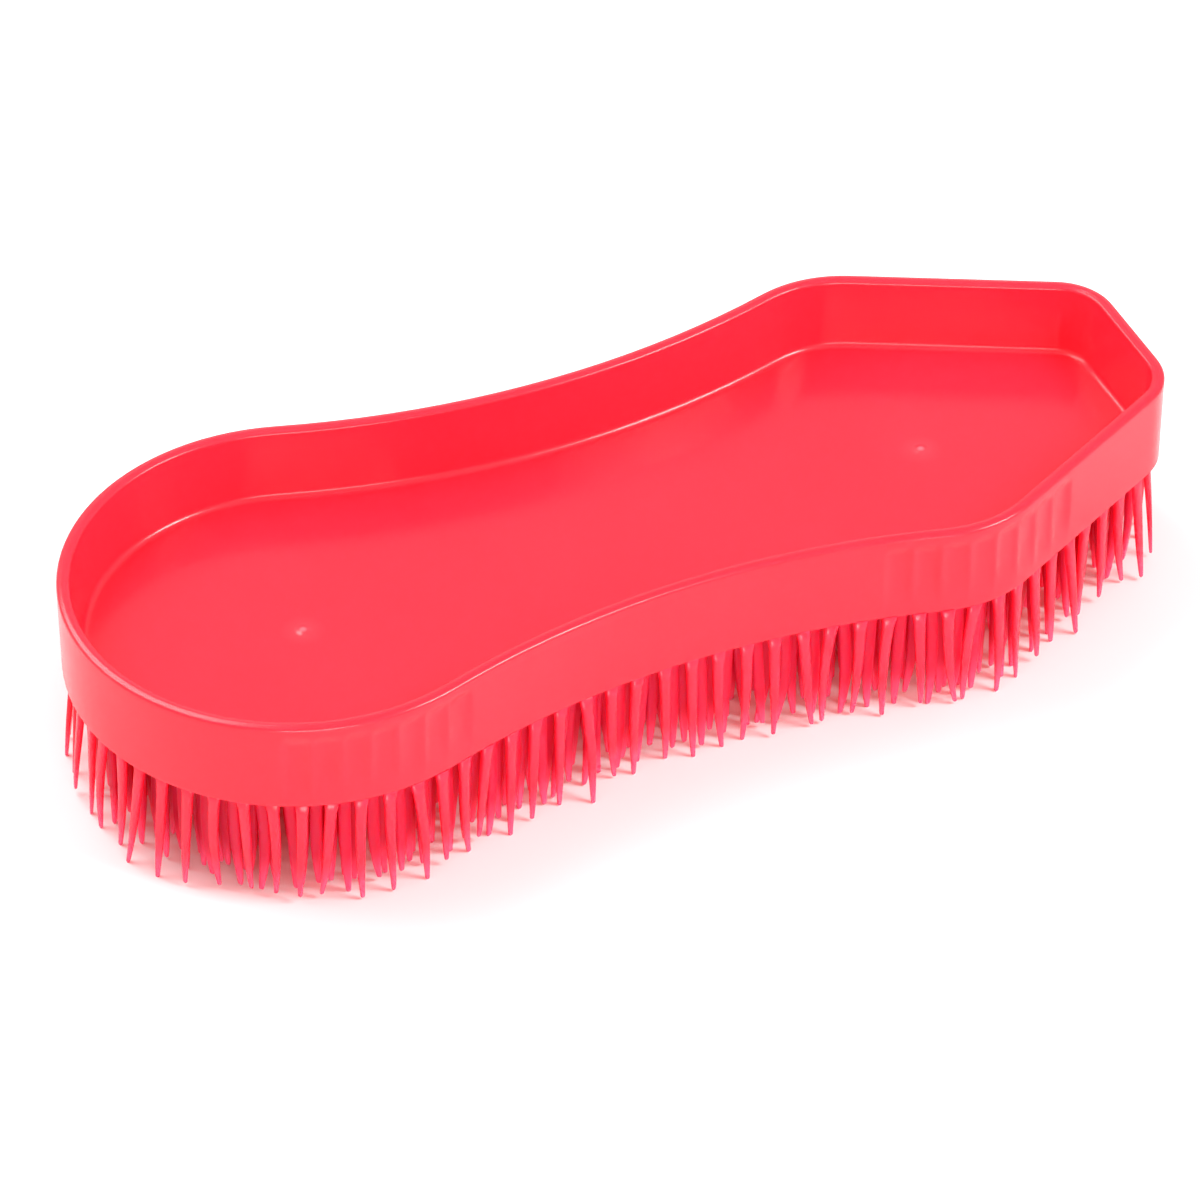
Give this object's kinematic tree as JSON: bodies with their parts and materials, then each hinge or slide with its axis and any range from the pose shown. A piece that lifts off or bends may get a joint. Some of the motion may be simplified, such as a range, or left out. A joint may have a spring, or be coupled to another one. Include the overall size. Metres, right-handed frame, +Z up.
{
  "type": "grooming brush",
  "caption": "Waisted grooming brush: a red plastic tray held by its wall, with finger grooves outside and rows of flexible pointed blades underneath.",
  "frame": {"origin": "on the plane of the blade tips, under the middle of the tray's length and width", "axes": "+X along the length towards the pointed end, +Y across, +Z up from the blade tips to the tray's rim"},
  "size_m": [0.2, 0.081, 0.0393],
  "materials": {
    "moulded_plastic": "smooth satin gloss, slightly translucent"
  },
  "bodies": {
    "root": {"tray_body": "moulded_plastic", "edge_row_1": "moulded_plastic", "edge_row_2": "moulded_plastic", "edge_row_3": "moulded_plastic", "edge_row_4": "moulded_plastic", "inner_row_01": "moulded_plastic", "inner_row_02": "moulded_plastic", "inner_row_03": "moulded_plastic", "inner_row_04": "moulded_plastic", "inner_row_05": "moulded_plastic", "inner_row_06": "moulded_plastic", "inner_row_07": "moulded_plastic", "inner_row_08": "moulded_plastic", "inner_row_09": "moulded_plastic", "inner_row_10": "moulded_plastic", "inner_row_11": "moulded_plastic", "inner_row_12": "moulded_plastic", "inner_row_13": "moulded_plastic", "inner_row_14": "moulded_plastic", "inner_row_15": "moulded_plastic", "inner_row_16": "moulded_plastic", "inner_row_17": "moulded_plastic", "inner_row_18": "moulded_plastic", "inner_row_19": "moulded_plastic", "inner_row_20": "moulded_plastic", "inner_row_21": "moulded_plastic", "inner_row_22": "moulded_plastic", "inner_row_23": "moulded_plastic", "inner_row_24": "moulded_plastic", "inner_row_25": "moulded_plastic", "inner_row_26": "moulded_plastic", "inner_row_27": "moulded_plastic", "inner_row_28": "moulded_plastic", "inner_row_29": "moulded_plastic"}
  },
  "joints": []
}
